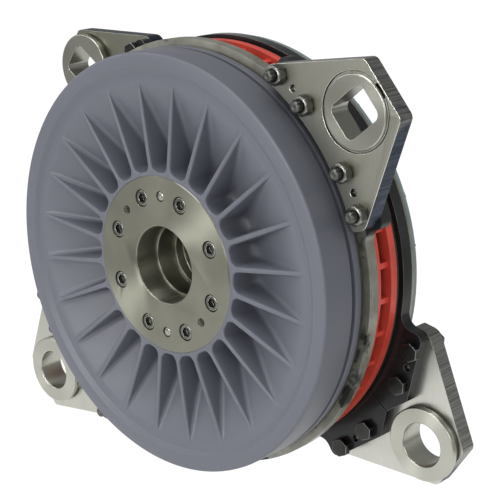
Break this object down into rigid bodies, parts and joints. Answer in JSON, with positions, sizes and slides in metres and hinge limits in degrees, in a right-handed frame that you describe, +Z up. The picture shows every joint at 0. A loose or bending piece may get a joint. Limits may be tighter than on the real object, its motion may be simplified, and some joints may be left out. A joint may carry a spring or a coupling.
{
  "type": "pneumatic clutch brake",
  "caption": "Pneumatic press clutch brake with a ribbed front dish, a red ventilated pressure plate and two lined rings with steel torque lugs.",
  "frame": {"origin": "on the shaft axis in the plane of the hub's front face", "axes": "Y runs along the shaft with the front at -Y, +Z is up and +X is to the right seen from the front"},
  "size_m": [0.6268, 0.1785, 0.5066],
  "materials": {
    "dish_paint": "satin",
    "red_paint": "satin",
    "black_paint": "satin",
    "rear_paint": "satin",
    "turned_steel": "turned",
    "ground_steel": "ground",
    "hardened_steel": "turned",
    "ring_steel": "plain",
    "black_steel": "black oxide",
    "spring_steel": "oiled",
    "bronze": "turned",
    "lining": "moulded friction lining",
    "seal_rubber": "matt"
  },
  "bodies": {
    "rotor": {"hub": "turned_steel", "front_dish": "dish_paint", "fixed_piston": "turned_steel", "rear_plate": "rear_paint", "rear_wear_ring": "ring_steel", "lock_nut": "black_steel", "hub_screws": "black_steel", "hub_dowels": "turned_steel", "guide_pins": "turned_steel", "rear_keys": "ring_steel", "rear_screws": "black_steel", "piston_seal": "seal_rubber", "return_springs": "spring_steel"},
    "pressure_plate": {"pressure_plate": "red_paint", "pin_bushes": "bronze", "barrel_seal": "seal_rubber"},
    "front_ring": {"front_ring_left_half": "ring_steel", "front_ring_right_half": "ring_steel", "front_ring_left_front_lining": "lining", "front_ring_left_back_lining": "lining", "front_ring_right_front_lining": "lining", "front_ring_right_back_lining": "lining", "front_slot_lug": "ground_steel", "front_round_lug": "ground_steel", "front_slot_bush": "hardened_steel", "front_round_bush": "hardened_steel", "front_slot_bush_clip": "spring_steel", "front_round_bush_clip": "spring_steel", "front_lug_studs": "black_steel", "front_lug_nuts": "black_steel", "front_lug_dowels": "ring_steel"},
    "rear_ring": {"rear_ring_right_half": "black_paint", "rear_ring_left_half": "black_paint", "rear_ring_right_front_lining": "lining", "rear_ring_right_back_lining": "lining", "rear_ring_left_front_lining": "lining", "rear_ring_left_back_lining": "lining", "rear_round_lug": "ground_steel", "rear_slot_lug": "ground_steel", "rear_round_bush": "hardened_steel", "rear_slot_bush": "hardened_steel", "rear_round_bush_clip": "spring_steel", "rear_slot_bush_clip": "spring_steel", "rear_lug_bolts": "black_steel", "rear_lug_nuts": "black_steel", "rear_lug_dowels": "ring_steel"}
  },
  "joints": [
    {"name": "plate_slide", "type": "slide", "parent": "rotor", "child": "pressure_plate", "axis": [0, 1, 0], "range_m": [-0.002, 0], "stiffness_N_per_m": 530000, "springref_m": 0.006, "deforming": ["return_springs"]},
    {"name": "front_ring_spin", "type": "hinge", "parent": "rotor", "child": "front_ring", "pos_m": [0, 0.0628, 0], "axis": [0, 1, 0], "continuous": true},
    {"name": "rear_ring_spin", "type": "hinge", "parent": "rotor", "child": "rear_ring", "pos_m": [0, 0.1224, 0], "axis": [0, 1, 0], "continuous": true}
  ]
}
